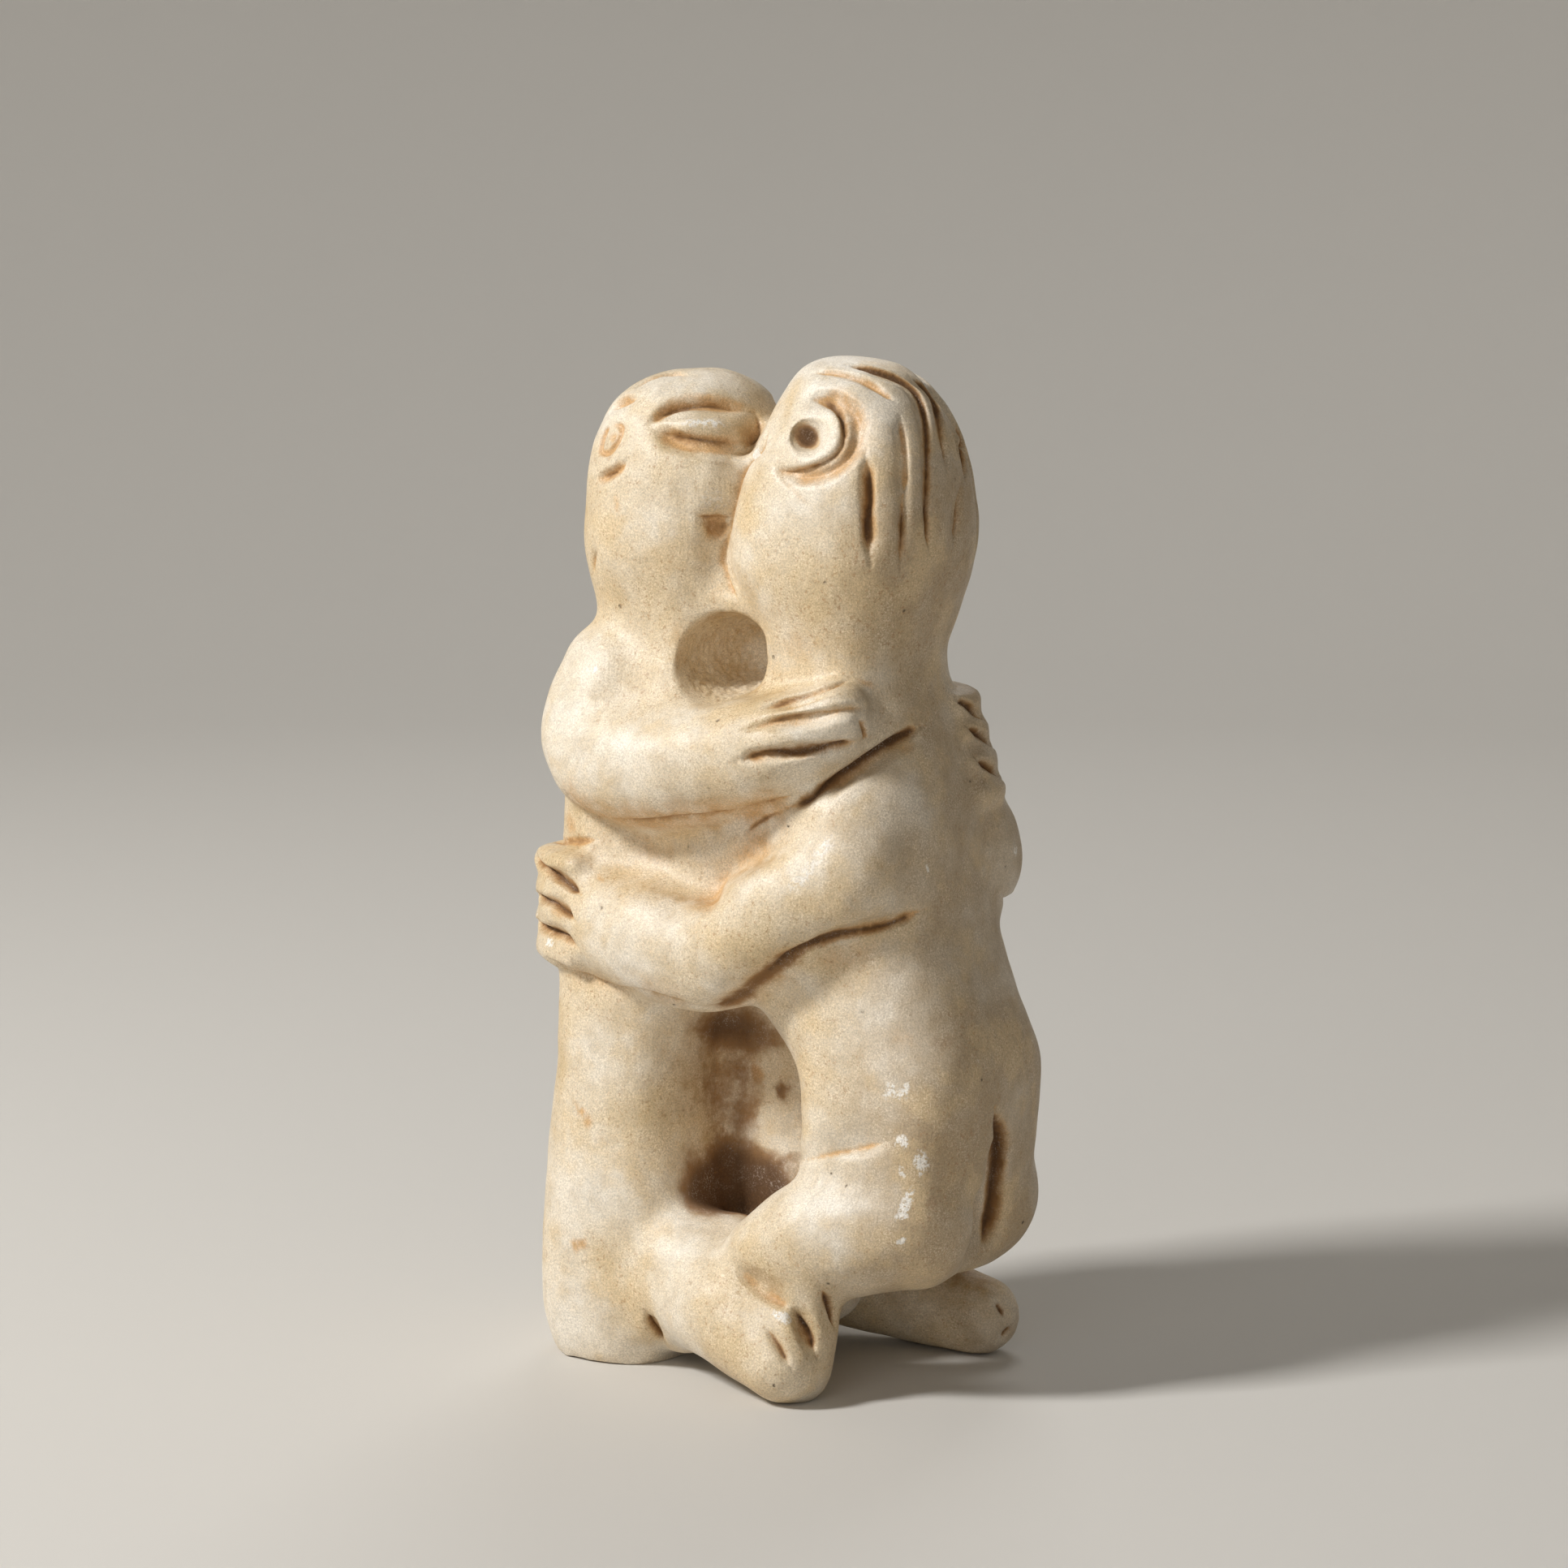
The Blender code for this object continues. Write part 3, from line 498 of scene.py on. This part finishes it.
stains = {  # marks, width in millimetres, strength, kind
    "hollow over the arm": [
        (((735, 1010), (800, 1040), (870, 1055), (930, 1045), (985, 1010)), 8.0, 0.45, "ochre"),
        (((760, 1025), (810, 1045), (870, 1060), (930, 1040)), 10.0, 0.6, "lessShadeAndDirt"),
        (((860, 1060), (875, 1100), (878, 1130)), 6.0, 0.55, "ochre"),
        (((694, 985), (700, 1010), (712, 1030)), 3.5, 0.9, "ochre"),
    ],
    "slit eye": [
        (((803, 515), (834, 495), (868, 490), (905, 497), (930, 503)), 2.2, 0.9, "ochre"),
        (((933, 505), (938, 525), (930, 545)), 1.5, 0.7, "ochre"),
        (((812, 536), (840, 549), (880, 555), (918, 552)), 2.0, 1.1, "ochre"),
        # Painted highlight along the eyeball
        (((824, 521), (868, 520), (908, 527)), 2.4, 0.55, "white"),
    ],
    "ring eye": [
        (((1010, 487), (1050, 505), (1060, 535), (1046, 566), (1000, 588), (960, 584)), 3.6, 0.9, "ochre"),
    ],
    "nape": [
        (((752, 508), (768, 495), (789, 489)), 1.8, 0.9, "ochre"),
        (((733, 596), (752, 590), (771, 580)), 2.4, 0.8, "ochre"),
        (((757, 600), (760, 622), (760, 642)), 1.6, 0.7, "ochre"),
        (((890, 668), (889, 690), (893, 708)), 1.8, 0.7, "ochre"),
    ],
    "neck": [
        (((945, 770), (985, 790), (1030, 790)), 9.0, 0.4, "ochre"),
        (((870, 700), (880, 730), (850, 745)), 5.0, 0.4, "ochre"),
    ],
    "round the pit": [
        (((850, 745), (832, 790), (850, 840)), 5.0, 0.45, "ochre"),
        (((880, 862), (930, 850), (955, 820)), 4.0, 0.35, "ochre"),
    ],
    "hand": [
        (((1050, 832), (1066, 843), (1087, 846)), 1.6, 0.8, "ochre"),
        (((1100, 925), (1118, 922), (1132, 912)), 3.0, 0.6, "ochre"),
    ],
    "right fingers": [
        (((672, 1080), (690, 1086), (708, 1098)), 1.6, 0.8, "ochre"),
        (((672, 1118), (686, 1124), (700, 1132)), 1.6, 0.8, "ochre"),
        (((690, 1155), (700, 1160), (710, 1167)), 1.2, 0.7, "ochre"),
    ],
    "back scratches": [
        (((703, 1350), (722, 1376), (748, 1411)), 1.6, 1.4, "ochre"),
        (((700, 1528), (716, 1532), (739, 1531)), 1.6, 1.3, "ochre"),
        (((727, 1066), (738, 1080), (749, 1093)), 0.9, 0.8, "ochre"),
        (((1170, 1252), (1200, 1246), (1230, 1236)), 2.0, 0.5, "ochre"),
    ],
    "under arm": [
        (((985, 1190), (1040, 1180), (1110, 1160)), 6.0, 0.55, "ochre"),
        (((1090, 1265), (1110, 1280), (1140, 1290)), 4.0, 0.4, "ochre"),
    ],
    "foot fold": [
        (((905, 1545), (945, 1575), (990, 1590)), 6.0, 0.55, "brown"),
        (((850, 1590), (820, 1620), (840, 1660)), 4.0, 0.3, "ochre"),
    ],
    "flank band": [
        (((1136, 1275), (1160, 1285), (1195, 1270)), 3.6, 0.65, "brown"),
        (((1135, 1470), (1150, 1485), (1150, 1505)), 3.0, 0.6, "brown"),
    ],
    "lap": [
        # Painted shade in the lap's recess, brown, darkest at its bottom
        (((825, 1265), (845, 1340), (830, 1420)), 11.0, 0.3, "brown"),
        (((885, 1290), (895, 1350), (885, 1420)), 10.0, 0.45, "brown"),
        (((850, 1262), (905, 1268), (975, 1285)), 7.0, 1.1, "brown"),
        (((885, 1280), (915, 1320), (912, 1380), (895, 1410)), 7.0, 0.6, "brown"),
        (((848, 1425), (870, 1465), (905, 1490), (945, 1455), (970, 1432)), 11.0, 1.6, "brown"),
        (((858, 1432), (905, 1445), (955, 1455)), 11.0, 1.6, "brown"),
        (((925, 1300), (932, 1320), (933, 1338)), 2.4, 1.4, "ochre"),
        (((960, 1335), (965, 1355)), 3.5, 1.0, "brown"),
    ],
    "painted pool of light in the lap": [
        # Painted light: a pale pool on the lap's back wall, where light falls through the opening
        (((945, 1375), (958, 1392), (975, 1408)), 5.5, 1.8, "lessShadeAndDirt"),
    ],
    "chips": [
        (((927, 568), (939, 554)), 2.0, 1.8, "white"),
        (((731, 823), (735, 825)), 1.3, 1.2, "white"),
        (((1250, 1040), (1253, 1056)), 1.8, 1.2, "white"),
        (((664, 1116), (661, 1130)), 1.2, 1.1, "white"),
        (((670, 1160), (684, 1163)), 1.6, 1.1, "white"),
        (((950, 1612), (965, 1622), (980, 1630)), 1.8, 1.1, "white"),
    ],
    "rubbed spots and painted highlights": [
        # Painted highlight on the left figure's cheek
        (((845, 590), (880, 615), (900, 590)), 8.0, 0.45, "white"),
        (((1085, 1349), (1104, 1344), (1128, 1333)), 2.2, 1.2, "white"),
        (((1103, 1398), (1112, 1408), (1125, 1402)), 2.4, 1.2, "white"),
        (((1128, 1418), (1134, 1432), (1142, 1446)), 2.6, 1.2, "white"),
        (((1106, 1432), (1113, 1442), (1120, 1438)), 2.4, 1.1, "white"),
        (((1128, 1455), (1118, 1478), (1111, 1500), (1110, 1512)), 2.0, 1.0, "white"),
        (((1109, 1526), (1114, 1534)), 2.2, 1.1, "white"),
        # Painted highlight along the right figure's upper arm
        (((1045, 1010), (1015, 1045), (985, 1085), (940, 1115)), 3.4, 0.55, "white"),
        (((1205, 1305), (1207, 1312)), 1.0, 0.9, "white"),
    ],
}


def stain(surface, layers):
    for marked in stains.values():
        for marks, width, strength, kind in marked:
            line = onStone(surface, marks)
            if line:
                for run in (line, mirrored(surface, line)):
                    paint(surface, layers[kind], run, width, strength)


def makeCouple():
    mesh = copyOfNode(block["node"])
    mesh = withModifier(mesh, "REMESH", mode="VOXEL", voxel_size=block["spacing"])
    surface = StoneSurface(mesh)
    takeFacetsOff(surface)
    bringOutForms(surface)
    surface.settle()
    print("blank ready", len(mesh.vertices), "points")
    layers = {kind: np.zeros(len(surface.places)) for kind in ("ochre", "brown", "white", "lessShadeAndDirt")}
    carve(surface, layers)
    surface.settle()
    roughen(surface, layers)
    surface.settle()
    print("carved")

    broad = surface.evened(surface.places, block["hollowPasses"])
    fine = surface.evened(surface.places, block["groovePasses"])
    hollows = ((broad - surface.places) * surface.outward).sum(axis=1) / mm
    grooves = ((fine - surface.places) * surface.outward).sum(axis=1) / mm
    stain(surface, layers)
    layers["hollow"] = step(hollows, *block["hollow"])
    layers["groove"] = step(grooves, *block["groove"])
    layers["edge"] = step(-hollows, *block["edge"])
    # Painted shade, with some greyer stone, on the right figure's back
    layers["browner"] = step(surface.places[:, 0], *block["browner"])
    fineTree = KDTree(len(surface.places))
    for i, place in enumerate(surface.places.tolist()):
        fineTree.insert(place, i)
    fineTree.balance()

    ratio = block["triangles"] / (2 * len(mesh.polygons))
    mesh = withModifier(mesh, "DECIMATE", ratio=ratio, use_collapse_triangulate=True)
    mesh.shade_smooth()
    light = StoneSurface(mesh)
    light.settle()
    nearest = [fineTree.find(place)[1] for place in light.places.tolist()]
    for name, values in layers.items():
        setAttribute(mesh, name, values[nearest])
    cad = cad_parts[block["node"]].data
    cadTree = BVHTree.FromPolygons([v.co for v in cad.vertices], [list(f.vertices) for f in cad.polygons])
    # How much of each point's surroundings is stone; the coats darken sheltered places by it as painted shade
    hidden = hiddenShare(light.places, light.outward, cadTree)
    hidden = light.evened(hidden[:, None], block["hiddenPasses"])[:, 0]
    setAttribute(mesh, "hidden", hidden)
    print("stained", len(mesh.polygons), "triangles")

    couple = bpy.data.objects.new("carvedCouple", mesh)
    bpy.context.scene.collection.objects.link(couple)
    return couple


# Materials

def linear(hexColour):
    parts = [int(hexColour[i : i + 2], 16) / 255 for i in (1, 3, 5)]
    return tuple(c / 12.92 if c <= 0.04045 else ((c + 0.055) / 1.055) ** 2.4 for c in parts) + (1.0,)


def addNode(tree, kind, settings, output=0):  # a setting is a property, or an input by its name or number
    made = tree.nodes.new(kind)
    for name, value in settings.items():
        if isinstance(name, str) and hasattr(made, name):
            setattr(made, name, value)
        elif isinstance(value, bpy.types.NodeSocket):
            tree.links.new(value, made.inputs[name])
        else:
            made.inputs[name].default_value = value
    return made.outputs[output]


# Dense pale limestone or alabaster, ground smooth by hand and worn: a soft sheen on the high places,
# cream with buff clouds, ochre earth in the hollows and brown dirt at the bottom of the grooves, with
# painted shade in the sheltered places and on the right figure's back, and a few painted highlights.
stone = {
    "cream": "#ede3d2",
    "buff": "#d8c097",
    "greyBrown": "#b8a27f",
    "noises": {  # size in millimetres, detail, roughness
        "clouds": (16.0, 4.0, 0.6),
        "veil": (7.0, 4.0, 0.6),
        "mottle": (3.2, 5.0, 0.65),
        "grain": (0.2, 2.0, 0.7),
        "freckles": (0.45, 3.0, 0.6),
    },
    "patterns": {  # the noise, the stretch of it that counts, and what that becomes from its start to its end
        "buff": ("clouds", 0.36, 0.66, 0.0, 1.0),
        "greyBrown": ("mottle", 0.48, 0.8, 0.0, 0.6),
        "veiled": ("clouds", 0.35, 0.5, 0.4, 1.0),
        "freckle": ("clouds", 0.4, 0.62, 0.3, 1.0),
        "bloom": ("mottle", 0.35, 0.6, 1.0, 0.2),
        "grainy": ("grain", 0.3, 0.7, 0.7, 1.16),
        "pitted": ("mottle", 0.55, 0.62, 0.0, 1.0),
        "roughness": ("mottle", 0.3, 0.7, 0.39, 0.55),
    },
    "layers": ("hidden", "hollow", "groove", "edge", "ochre", "brown", "white", "lessShadeAndDirt", "browner"),
    "poreSpacing": 3.1,
    "poreRim": (0.05, 0.1),  # of a pore, as shares of the spacing
    "poreColour": "#43331f",
    "earthDulls": 0.5,  # roughness that the earth adds
    "ior": 1.5,
    "scratchSpacing": 0.4,
    "scratchDetail": 2.0,
    "scratches": ((0.5, 0.4), (-0.9, 0.35)),  # turn in radians and height of each lay
    "scratchTilt": 0.3,
    "scratchStretch": 0.1,
    "grainHeight": 0.6,
    "bump": (0.6, 0.12),  # strength, and height in millimetres
}
# What lies on the stone, and the shade and highlights painted on it, each over the last, with the share of
# every layer that it follows. A noise breaks it up: breakUp is the stretch of the noise that counts, then how
# much is left at its low and high ends. It shows from the amount "from", is full at "to", and "most" is the
# most of it that shows.
coats = [
    {"name": "browner", "colour": "#a8906f",  # the right figure's back: its warmer, greyer stone, and painted shade where it turns from the light
     "layers": {"browner": 1.0},
     "noise": "clouds", "breakUp": (0.3, 0.7, 0.5, 1.2), "from": 0.1, "to": 1.0, "most": 0.75},
    {"name": "veil", "colour": "#dcc297",  # thin buff veils over the cream
     "layers": {"veiled": 1.0},
     "noise": "veil", "breakUp": (0.45, 0.65, 0.0, 1.0), "from": 0.1, "to": 1.0, "most": 0.6},
    {"name": "tan", "colour": "#c9ab7c",  # painted shade: a tan darkening of all that lies sheltered and of the hollows
     "layers": {"hidden": 1.0, "hollow": 0.5, "lessShadeAndDirt": -1.0},
     "noise": "mottle", "breakUp": (0.35, 0.65, 0.5, 1.2), "from": 0.1, "to": 0.7, "most": 0.7},
    {"name": "ochre", "colour": "#cfa36c",  # ochre earth along the grooves
     "layers": {"ochre": 1.0, "hollow": 0.35, "groove": 0.5, "hidden": 0.25, "lessShadeAndDirt": -0.8},
     "noise": "mottle", "breakUp": (0.3, 0.7, 0.5, 1.35), "from": 0.15, "to": 1.2, "most": 0.85},
    {"name": "earthAndShade", "colour": "#8b6134",  # brown earth in the grooves, and painted shade deep in the laps and pits
     "layers": {"hidden": 0.9, "brown": 1.0, "lessShadeAndDirt": -1.3},
     "noise": "mottle", "breakUp": (0.3, 0.7, 0.7, 1.3), "from": 0.3, "to": 1.1, "most": 0.85},
    {"name": "dirtAndShade", "colour": "#553a22",  # the darkest: dirt at the bottom of the grooves, and painted shade deepest in the hollows
     "layers": {"hidden": 0.9, "brown": 0.9, "groove": 0.45, "lessShadeAndDirt": -1.3},
     "noise": "grain", "breakUp": (0.25, 0.7, 0.75, 1.2), "from": 0.8, "to": 1.6, "most": 0.8},
    {"name": "freckles", "colour": "#a0713f",  # rust-brown freckles
     "layers": {"freckle": 1.0},
     "noise": "freckles", "breakUp": (0.52, 0.68, 0.0, 1.0), "from": 0.1, "to": 1.0, "most": 0.5},
    {"name": "bloom", "colour": "#f6f0e4",  # a pale bloom of fine wear
     "layers": {"bloom": 1.0},
     "noise": "grain", "breakUp": (0.45, 0.7, 0.0, 1.0), "from": 0.1, "to": 1.0, "most": 0.3},
    {"name": "white", "colour": "#f3eee5",  # fresh white stone at chips and rubbed edges, and painted highlights on a cheek, an eyeball and an arm
     "layers": {"white": 1.0, "edge": 0.3},
     "noise": "freckles", "breakUp": (0.36, 0.56, 0.25, 1.25), "from": 0.3, "to": 0.85, "most": 0.9},
]


def paleStone():
    made = bpy.data.materials.new("pale stone, hand ground and worn")
    made.use_nodes = True
    tree = made.node_tree
    shader = tree.nodes["Principled BSDF"]
    where = addNode(tree, "ShaderNodeTexCoord", {}, "Object")
    noises, layers, patterns, amounts = {}, {}, {}, {}
    for name, (size, detail, roughness) in stone["noises"].items():
        noises[name] = addNode(tree, "ShaderNodeTexNoise", {"Vector": where, "Scale": 1 / (size * mm),
                                                            "Detail": detail, "Roughness": roughness})
    for name in stone["layers"]:
        layers[name] = addNode(tree, "ShaderNodeAttribute", {"attribute_name": name}, "Fac")
    for name, (source, low, high, start, end) in stone["patterns"].items():
        patterns[name] = addNode(tree, "ShaderNodeMapRange", {0: noises[source], 1: low, 2: high, 3: start,
                                                              4: end})
    layers.update(patterns)

    # Cream with buff clouds and greyer veils
    colour = linear(stone["cream"])
    for name in ("buff", "greyBrown"):
        colour = addNode(tree, "ShaderNodeMix", {"data_type": "RGBA", 0: patterns[name], 6: colour,
                                                 7: linear(stone[name])}, 2)

    for coat in coats:
        amount = 0.0
        for name, share in coat["layers"].items():
            amount = addNode(tree, "ShaderNodeMath", {"operation": "MULTIPLY_ADD", 0: layers[name], 1: share,
                                                      2: amount})
        low, high, thin, thick = coat["breakUp"]
        broken = addNode(tree, "ShaderNodeMapRange", {0: noises[coat["noise"]], 1: low, 2: high, 3: thin,
                                                      4: thick})
        amount = addNode(tree, "ShaderNodeMath", {"operation": "MULTIPLY", 0: amount, 1: broken})
        amount = addNode(tree, "ShaderNodeMapRange", {"interpolation_type": "SMOOTHSTEP", 0: amount,
                                                      1: coat["from"], 2: coat["to"], 4: coat["most"]})
        colour = addNode(tree, "ShaderNodeMix", {"data_type": "RGBA", 0: amount, 6: colour,
                                                 7: linear(coat["colour"])}, 2)
        amounts[coat["name"]] = amount

    # Grain of the stone, light and dark, and its pores
    colour = addNode(tree, "ShaderNodeMix", {"data_type": "RGBA", "blend_type": "MULTIPLY", 0: 1.0, 6: colour,
                                             7: patterns["grainy"]}, 2)
    cells = addNode(tree, "ShaderNodeTexVoronoi", {"Vector": where, "Scale": 1 / (stone["poreSpacing"] * mm)},
                    "Distance")
    core, rim = stone["poreRim"]
    pores = addNode(tree, "ShaderNodeMapRange", {0: cells, 1: core, 2: rim, 3: 1.0, 4: 0.0})
    pores = addNode(tree, "ShaderNodeMath", {"operation": "MULTIPLY", 0: pores, 1: patterns["pitted"]})
    colour = addNode(tree, "ShaderNodeMix", {"data_type": "RGBA", 0: pores, 6: colour,
                                             7: linear(stone["poreColour"])}, 2)
    tree.links.new(colour, shader.inputs["Base Color"])

    # The earth coat, painted shade with it, is dull where the rubbed stone has a sheen
    earthy = addNode(tree, "ShaderNodeMath", {"operation": "MULTIPLY_ADD", "use_clamp": True,
                                              0: amounts["earthAndShade"], 1: stone["earthDulls"],
                                              2: patterns["roughness"]})
    tree.links.new(earthy, shader.inputs["Roughness"])
    shader.inputs["IOR"].default_value = stone["ior"]

    # Scratches of the grinding, two ways across each other, and the grain
    height = addNode(tree, "ShaderNodeMath", {"operation": "MULTIPLY", 0: noises["grain"],
                                              1: stone["grainHeight"]})
    for turn, share in stone["scratches"]:
        turned = addNode(tree, "ShaderNodeMapping", {"Vector": where,
                                                     "Scale": (1.0, 1.0, stone["scratchStretch"]),
                                                     "Rotation": (turn, stone["scratchTilt"], turn)})
        scratches = addNode(tree, "ShaderNodeTexNoise", {"Vector": turned, "Detail": stone["scratchDetail"],
                                                         "Scale": 1 / (stone["scratchSpacing"] * mm)})
        height = addNode(tree, "ShaderNodeMath", {"operation": "MULTIPLY_ADD", 0: scratches, 1: share,
                                                  2: height})
    height = addNode(tree, "ShaderNodeMath", {"operation": "SUBTRACT", 0: height, 1: pores})
    strength, depth = stone["bump"]
    bump = addNode(tree, "ShaderNodeBump", {"Strength": strength, "Distance": depth * mm, "Height": height})
    tree.links.new(bump, shader.inputs["Normal"])
    return made


couple = makeCouple()
couple.data.materials.clear()
couple.data.materials.append(paleStone())
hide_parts(block["node"])
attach(couple, "root")
print("stone finished")


# Floor, lights and camera

studio = {
    "floor": "#d3cfc8",
    "floorRadius": 0.65,  # metres of flat floor round the figurine
    "coveRadius": 0.55,
    "wallHeight": 1.7,
    "coveSteps": 12,
    "roundSteps": 72,
    "roughness": 0.8,
    "world": 0.03,
}
lamps = {  # degrees round from -Y towards +X, degrees up, metres away, size, watts
    "key": (-38.0, 40.0, 0.9, 0.16, 7.9),
    "fill": (10.0, 22.0, 1.1, 0.6, 1.4),
    "rim": (200.0, 45.0, 1.0, 0.35, 1.7),
}


def aimAt(thing, place):
    thing.rotation_euler = (Vector(place) - thing.location).to_track_quat("-Z", "Y").to_euler()


def makeStudio():
    flat, cove, height = studio["floorRadius"], studio["coveRadius"], studio["wallHeight"]
    bm = bmesh.new()
    profile = [bm.verts.new((0, 0, 0)), bm.verts.new((flat, 0, 0))]
    bend = bmesh.ops.spin(bm, geom=[profile[1]], cent=(flat, 0, cove), axis=(0, 1, 0), angle=-math.pi / 2,
                           steps=studio["coveSteps"])
    wall = bend["geom_last"][0]
    bm.edges.new(profile)
    bm.edges.new((wall, bm.verts.new((flat + cove, 0, height))))
    bmesh.ops.spin(bm, geom=bm.verts[:] + bm.edges[:], cent=(0, 0, 0), axis=(0, 0, 1), angle=2 * math.pi,
                   steps=studio["roundSteps"], use_merge=True)
    bmesh.ops.remove_doubles(bm, verts=bm.verts, dist=mm)
    mesh = bpy.data.meshes.new("floor")
    bm.to_mesh(mesh)
    bm.free()
    mesh.shade_smooth()
    floor = bpy.data.objects.new("floor", mesh)
    bpy.context.scene.collection.objects.link(floor)
    paper = bpy.data.materials.new("plain studio floor")
    paper.use_nodes = True
    shader = paper.node_tree.nodes["Principled BSDF"]
    shader.inputs["Base Color"].default_value = linear(studio["floor"])
    shader.inputs["Roughness"].default_value = studio["roughness"]
    mesh.materials.append(paper)

    world = bpy.data.worlds.new("studio")
    bpy.context.scene.world = world
    world.use_nodes = True
    background = world.node_tree.nodes["Background"]
    background.inputs["Color"].default_value = (1.0, 1.0, 1.0, 1.0)
    background.inputs["Strength"].default_value = studio["world"]

    middle = Vector(picture["lookAt"])
    for name, (turn, rise, away, size, watts) in lamps.items():
        lamp = bpy.data.lights.new(name, "AREA")
        lamp.size, lamp.energy = size, watts
        thing = bpy.data.objects.new(name, lamp)
        bpy.context.scene.collection.objects.link(thing)
        turn, rise = math.radians(turn), math.radians(rise)
        out = Vector((math.sin(turn) * math.cos(rise), -math.cos(turn) * math.cos(rise), math.sin(rise)))
        thing.location = middle + out * away
        aimAt(thing, middle)


def makeCamera():
    lens = bpy.data.cameras.new("camera")
    lens.lens, lens.sensor_width = picture["lens"], picture["sensor"]
    lens.clip_start = picture["nearest"]
    camera = bpy.data.objects.new("camera", lens)
    bpy.context.scene.collection.objects.link(camera)
    camera.location = cameraPlace()
    aimAt(camera, picture["lookAt"])
    bpy.context.scene.camera = camera


makeStudio()
makeCamera()
bpy.context.scene.view_settings.view_transform = "Standard"  # shows the stone's own colours unfiltered
print("studio ready")
